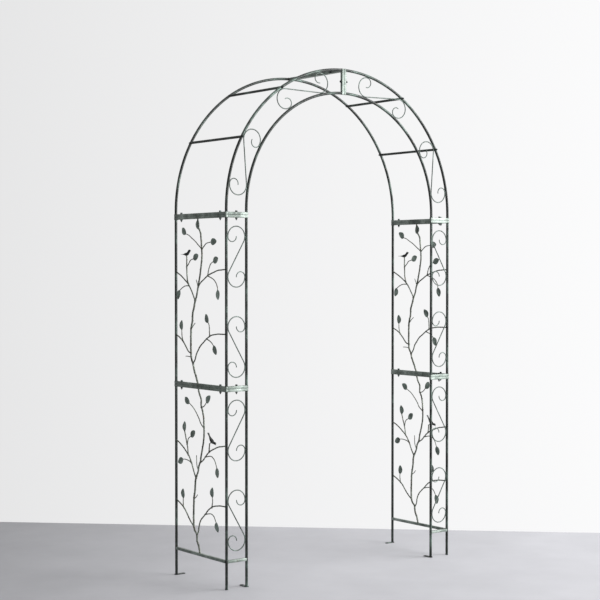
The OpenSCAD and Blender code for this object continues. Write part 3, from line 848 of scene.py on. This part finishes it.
def foot_tab(post, heading):
    """A flat tab from under a post to a peg hole at heading, its edges rounded by a bevel.

    Seen from the hole, its outline is a strip with two round ends. Each section runs from
    the hole's edge out to the outline and back, and the sections follow the outline round.
    """
    arc = np.linspace(-math.pi / 2, math.pi / 2, 32)
    half = TAB_W / 2
    far = half * np.stack([np.cos(arc), np.sin(arc)], axis=1)
    strip = np.linspace(0, -TAB_REACH, 24)[1:-1]
    top_edge = np.stack([strip, np.full(len(strip), half)], axis=1)
    outline = np.vstack([far, top_edge, -far - [TAB_REACH, 0], -top_edge - [TAB_REACH, 0]])
    outward = unit(outline)
    bevel = 0.5 * MM
    outer = outline[:, None] - outward[:, None] * np.array([bevel, 0, 0, bevel])[:, None]
    inner = outward[:, None] * (PEG_R + np.array([bevel, 0, 0, bevel])[:, None])
    flat = np.concatenate([outer, inner], axis=1)
    rise = np.array([tab_top, tab_top - bevel, bevel, 0])
    height = np.broadcast_to(np.concatenate([rise, rise[::-1]]), flat.shape[:2])
    hole = np.asarray(post) + TAB_REACH * np.array([math.cos(heading), math.sin(heading)])
    turning = np.array([[math.cos(heading), math.sin(heading)],
                        [-math.sin(heading), math.cos(heading)]])
    placed = flat @ turning + hole
    return hoop(np.concatenate([placed, height[:, :, None]], axis=2))


plug_heights = np.array([0, 0.4, tab_top / MM]) * MM
plug = turned([outer_r, front_y, 0], 2, plug_heights, tube_r - np.array([0.4, 0, 0]) * MM)
both_sides("peg_tabs",
           [foot_tab([outer_r, rear_y], math.pi), foot_tab([inner_r, front_y], math.pi / 2),
            plug],
           "tube_paint", "foot_tabs")

# ---- Welds ----

posts = [[outer_r, front_y], [inner_r, front_y], [outer_r, rear_y]]
welds = []
for x, y in posts:
    for z in (tab_top, joint_z - bar_s, joint_z + bar_s, spring_z - bar_s, spring_z + bar_s):
        welds.append(ring_weld([x, y, z], 2))
foot_bar_middle = foot_bar_z + bar_h
welds.append(saddle_weld(posts[0], 1, 1, foot_bar_middle))
welds.append(saddle_weld(posts[2], 1, -1, foot_bar_middle))
welds.append(saddle_weld(posts[0], 0, -1, foot_bar_middle))
welds.append(saddle_weld(posts[1], 0, 1, foot_bar_middle))
for reach, y in ((outer_r, front_y), (inner_r, front_y), (outer_r, rear_y)):
    welds.append(ring_weld([bar_s, y, centre_z + math.sqrt(reach**2 - bar_s**2)], 0))
both_sides("weld_beads", welds, "tube_paint")
both_sides("scroll_tacks", [blob(spot, [1.6 * MM, 2 * MM, 3.4 * MM]) for spot in tack_spots],
           "scroll_paint")

for tier, wires in WIRES.items():
    tacks = []
    for wire in wires:
        for y, z in (wire[1][0], wire[1][-1]):
            at_bar = z < 0 or z > panel_h / MM
            if at_bar or abs(y) > rear_y / MM - 10:
                spot = [outer_r, y * MM, panel_z[tier] + z * MM]
                radius = (wire[0] / 2 + 1) * MM
                flat = 1.4 * MM
                tacks.append(blob(spot, [radius, radius, flat] if at_bar
                                  else [radius, flat, radius]))
    both_sides(tier + "_tree_tacks", tacks, "tree_paint")

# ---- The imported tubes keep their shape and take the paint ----

TUBE_NODES = [f"{side}_{tier}_{post}" for side in ("left", "right") for tier in WIRES
              for post in ("front_outer_post", "front_inner_post", "rear_post")]
TUBE_NODES += [f"{side}_{part}" for side in ("left", "right")
               for part in ("outer_arc", "inner_arc", "rear_arc", "rungs")]
for node in TUBE_NODES:
    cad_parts[node].data.materials[0] = tube_paint
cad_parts["rung_plugs"].data.materials[0] = bolt_metal

# ---- Floor, light and camera ----

CAMERA_PLACE = (-4.3744, -5.6262, 1.4395)
CAMERA_YAW = 37.2266  # degrees from +Y towards +X
CAMERA_PITCH = -1.15
CAMERA_LENS = 87.5
FLOOR_BACK = [1.65, 0.39]  # metres behind the middle of the arch, at the left and right
FLOOR_FRONT = 9  # metres in front of it
FLOOR_SIDE = 6  # metres to either side
FLOOR_DROP = 0.2 * MM  # below the feet, so that the two don't share a plane
FLOOR_DARK = tone(188, 188, 193)
FLOOR_PALE = tone(199, 199, 204)
# Painted shade on the floor: its grey darkens towards the left, standing in for light from the
# right that falls off
FLOOR_LEFT_SHADE = [0.55, 0.55, 0.55, 1]  # how much the floor keeps of its tone at its left, where painted shade darkens it most
# how much the floor keeps of its tone at its right, where the painted shade fades out
FLOOR_RIGHT_SHADE = [0.84, 0.84, 0.84, 1]
FLOOR_SHADE_EDGE = [-1.7, -0.2]  # metres to the right, where the painted shade starts and stops fading
WALL_TONE = (0.995, 0.995, 1, 1)
WALL_SPAN = [0.43, 0.75]  # how far to the right a sight line points, at the view's two sides
WALL_LIGHT = [0.8, 0.97]  # and how bright the wall is there
SOFT_LIGHT = [0.5, 1.15]  # strength of the room's light from the left and from the right
# Each softbox: its name, place, what it faces, side in metres and power in watts.
SOFTBOXES = [
    ["key_softbox", (7.2, -9.3, 2.9), (0, 0, 1.2), 4.5, 1550],
    ["side_softbox", (3.2, -1.8, 3.2), (1.4, -0.8, 0), 2, 95],
    ["top_softbox", (0.5, -1.0, 5.5), (0, 0, 1.0), 3, 40],
]


def studio_floor():
    """A pale concrete floor that ends at the studio's wall, with painted shade that darkens it
    towards its left.
    """
    yaw = math.radians(CAMERA_YAW)
    ahead = np.array([math.sin(yaw), math.cos(yaw)])
    right = np.array([math.cos(yaw), -math.sin(yaw)])
    left_side, right_side = -FLOOR_SIDE * right, FLOOR_SIDE * right
    front = -FLOOR_FRONT * ahead
    corners = [FLOOR_BACK[0] * ahead + left_side, FLOOR_BACK[1] * ahead + right_side,
               front + right_side, front + left_side]
    mesh = bpy.data.meshes.new("studio_floor")
    mesh.from_pydata([[x, y, -FLOOR_DROP] for x, y in corners], [], [[3, 2, 1, 0]])
    floor = bpy.data.objects.new("studio_floor", mesh)
    bpy.context.scene.collection.objects.link(floor)
    material = bpy.data.materials.new("pale concrete")
    material.use_nodes = True
    tree = material.node_tree
    surface = tree.nodes["Principled BSDF"]
    place = add_node(tree, "TexCoord").outputs["Object"]
    clouds = add_node(tree, "TexNoise", Vector=place, Scale=2.2, Detail=8, Roughness=0.6)
    grey = ramp(tree, clouds.outputs["Fac"], [[0.3, FLOOR_DARK], [0.7, FLOOR_PALE]])
    turned_place = add_node(tree, "Mapping", Vector=place, Rotation=(0, 0, yaw))
    across = add_node(tree, "SeparateXYZ", Vector=turned_place.outputs["Vector"]).outputs["X"]
    # Painted shade: the grey is multiplied down more at the left than at the right, for light that
    # falls off leftwards
    shaded_grey = mixed(tree, 1.0, grey, FLOOR_LEFT_SHADE, "MULTIPLY")
    lit_grey = mixed(tree, 1.0, grey, FLOOR_RIGHT_SHADE, "MULTIPLY")
    shade = mixed(tree, spread(tree, across, *FLOOR_SHADE_EDGE, 0, 1), shaded_grey, lit_grey)
    tree.links.new(shade, surface.inputs["Base Color"])
    surface.inputs["Roughness"].default_value = 0.7
    mesh.materials.append(material)


def softbox(name, place, aim, size, power):
    """A square light at place, turned to face aim."""
    lamp = bpy.data.lights.new(name, "AREA")
    lamp.size = size
    lamp.energy = power
    light = bpy.data.objects.new(name, lamp)
    light.location = place
    light.rotation_euler = (Vector(aim) - Vector(place)).to_track_quat("-Z", "Y").to_euler()
    bpy.context.scene.collection.objects.link(light)


def studio_world():
    """A near-white wall to the eye, brighter to the right, and soft light that is too."""
    world = bpy.data.worlds.new("studio")
    bpy.context.scene.world = world
    world.use_nodes = True
    tree = world.node_tree
    tree.nodes.clear()
    way = add_node(tree, "TexCoord").outputs["Generated"]
    across = add_node(tree, "SeparateXYZ", Vector=way).outputs["X"]
    share = spread(tree, across, -0.8, 0.8, *SOFT_LIGHT)
    light = add_node(tree, "Background", Strength=share)
    seen_share = spread(tree, across, *WALL_SPAN, *WALL_LIGHT)
    seen = add_node(tree, "Background", Color=WALL_TONE, Strength=seen_share)
    eye = add_node(tree, "LightPath").outputs["Is Camera Ray"]
    mix = add_node(tree, "MixShader", Fac=eye)
    tree.links.new(light.outputs[0], mix.inputs[1])
    tree.links.new(seen.outputs[0], mix.inputs[2])
    out = add_node(tree, "OutputWorld")
    tree.links.new(mix.outputs[0], out.inputs["Surface"])


studio_floor()
studio_world()
for softbox_row in SOFTBOXES:
    softbox(*softbox_row)
bpy.context.scene.view_settings.view_transform = "Standard"

camera_data = bpy.data.cameras.new("camera")
camera_data.lens = CAMERA_LENS
camera = bpy.data.objects.new("camera", camera_data)
camera.location = CAMERA_PLACE
camera.rotation_euler = (math.radians(90 + CAMERA_PITCH), 0, -math.radians(CAMERA_YAW))
bpy.context.scene.collection.objects.link(camera)
bpy.context.scene.camera = camera
